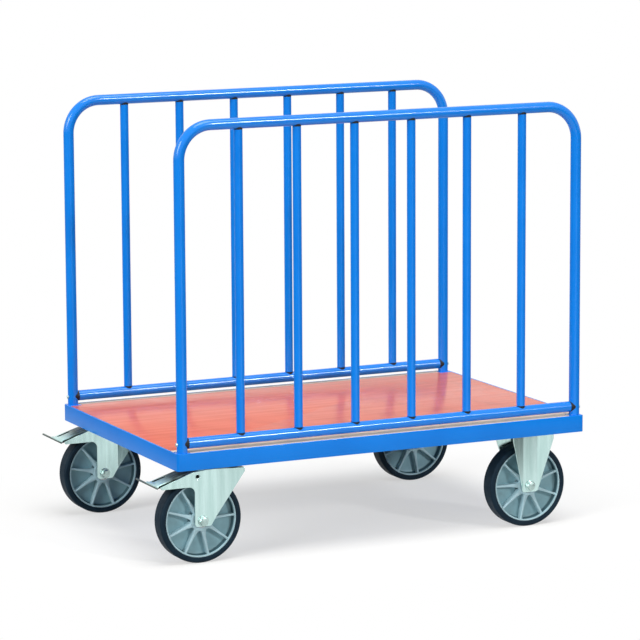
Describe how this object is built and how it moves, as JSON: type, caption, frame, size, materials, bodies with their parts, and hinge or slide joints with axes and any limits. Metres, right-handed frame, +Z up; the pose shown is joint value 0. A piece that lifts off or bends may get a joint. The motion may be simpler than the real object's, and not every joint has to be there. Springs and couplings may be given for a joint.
{
  "type": "tubular side trolley",
  "caption": "Platform trolley with a wooden deck in a steel frame, two tubular side hoops with upright bars, swivel casters with brake pedals at one end and fixed casters at the other.",
  "frame": {"origin": "middle of the overall box, on the floor", "axes": "+X along the platform towards the fixed casters, +Y across it towards the side where the release bars of the brake pedals stand out, +Z up"},
  "size_m": [1.0924, 0.742, 1.013],
  "materials": {
    "blue_paint": "gloss powder coat",
    "deck_wood": "smooth sealed board with a fine beech grain",
    "zinc_sheet": "bright zinc plate",
    "zinc_fasteners": "bright zinc plate",
    "ground_steel": "ground",
    "core_plastic": "moulded, satin",
    "tyre_rubber": "smooth moulded rubber",
    "saddle_plastic": "moulded, matt",
    "shoe_rubber": "matt"
  },
  "bodies": {
    "chassis": {"front_rail": "blue_paint", "rear_rail": "blue_paint", "left_end_rail": "blue_paint", "right_end_rail": "blue_paint", "left_bearer": "blue_paint", "right_bearer": "blue_paint", "middle_bearer": "blue_paint", "deck_board": "deck_wood", "hoop_spigots": "blue_paint", "front_hoop": "blue_paint", "rear_hoop": "blue_paint", "front_lower_rail": "blue_paint", "rear_lower_rail": "blue_paint", "front_bars": "blue_paint", "rear_bars": "blue_paint", "bar_saddles": "saddle_plastic", "rail_saddles": "saddle_plastic", "hoop_screws": "zinc_fasteners", "caster_bolts": "zinc_fasteners", "caster_nuts": "zinc_fasteners", "front_swivel_plate": "zinc_sheet", "rear_swivel_plate": "zinc_sheet", "king_pins": "zinc_fasteners", "king_nuts": "zinc_fasteners", "swivel_balls": "ground_steel", "front_fixed_bracket": "zinc_sheet", "rear_fixed_bracket": "zinc_sheet", "fixed_axle_bolts": "zinc_fasteners", "fixed_axle_nuts": "zinc_fasteners", "fixed_axle_sleeves": "ground_steel"},
    "front_swivel_fork": {"front_fork": "zinc_sheet", "front_swivel_cup": "zinc_sheet", "front_axle_bolt": "zinc_fasteners", "front_axle_nut": "zinc_fasteners", "front_axle_sleeve": "ground_steel", "front_pedal_pins": "zinc_fasteners"},
    "front_brake": {"front_brake_pedal": "zinc_sheet", "front_release_bar": "zinc_sheet", "front_brake_shoe": "shoe_rubber"},
    "front_swivel_wheel": {"front_swivel_rim": "core_plastic", "front_swivel_tyre": "tyre_rubber", "front_swivel_bearings": "ground_steel"},
    "front_fixed_wheel": {"front_fixed_rim": "core_plastic", "front_fixed_tyre": "tyre_rubber", "front_fixed_bearings": "ground_steel"},
    "rear_swivel_fork": {"rear_fork": "zinc_sheet", "rear_swivel_cup": "zinc_sheet", "rear_axle_bolt": "zinc_fasteners", "rear_axle_nut": "zinc_fasteners", "rear_axle_sleeve": "ground_steel", "rear_pedal_pins": "zinc_fasteners"},
    "rear_brake": {"rear_brake_pedal": "zinc_sheet", "rear_release_bar": "zinc_sheet", "rear_brake_shoe": "shoe_rubber"},
    "rear_swivel_wheel": {"rear_swivel_rim": "core_plastic", "rear_swivel_tyre": "tyre_rubber", "rear_swivel_bearings": "ground_steel"},
    "rear_fixed_wheel": {"rear_fixed_rim": "core_plastic", "rear_fixed_tyre": "tyre_rubber", "rear_fixed_bearings": "ground_steel"}
  },
  "joints": [
    {"name": "front_swivel", "type": "hinge", "parent": "chassis", "child": "front_swivel_fork", "pos_m": [-0.37178, -0.318, 0.218], "axis": [0, 0, 1], "continuous": true},
    {"name": "front_brake_press", "type": "hinge", "parent": "front_swivel_fork", "child": "front_brake", "pos_m": [-0.44538, -0.318, 0.2035], "axis": [0, -1, 0], "range_deg": [0, 10]},
    {"name": "front_swivel_wheel_turn", "type": "hinge", "parent": "front_swivel_fork", "child": "front_swivel_wheel", "pos_m": [-0.43278, -0.318, 0.1], "axis": [0, 1, 0], "continuous": true},
    {"name": "front_fixed_wheel_turn", "type": "hinge", "parent": "chassis", "child": "front_fixed_wheel", "pos_m": [0.41422, -0.318, 0.1], "axis": [0, 1, 0], "continuous": true},
    {"name": "rear_swivel", "type": "hinge", "parent": "chassis", "child": "rear_swivel_fork", "pos_m": [-0.37178, 0.276, 0.218], "axis": [0, 0, 1], "continuous": true},
    {"name": "rear_brake_press", "type": "hinge", "parent": "rear_swivel_fork", "child": "rear_brake", "pos_m": [-0.44538, 0.276, 0.2035], "axis": [0, -1, 0], "range_deg": [0, 10]},
    {"name": "rear_swivel_wheel_turn", "type": "hinge", "parent": "rear_swivel_fork", "child": "rear_swivel_wheel", "pos_m": [-0.43278, 0.276, 0.1], "axis": [0, 1, 0], "continuous": true},
    {"name": "rear_fixed_wheel_turn", "type": "hinge", "parent": "chassis", "child": "rear_fixed_wheel", "pos_m": [0.41422, 0.276, 0.1], "axis": [0, 1, 0], "continuous": true}
  ]
}
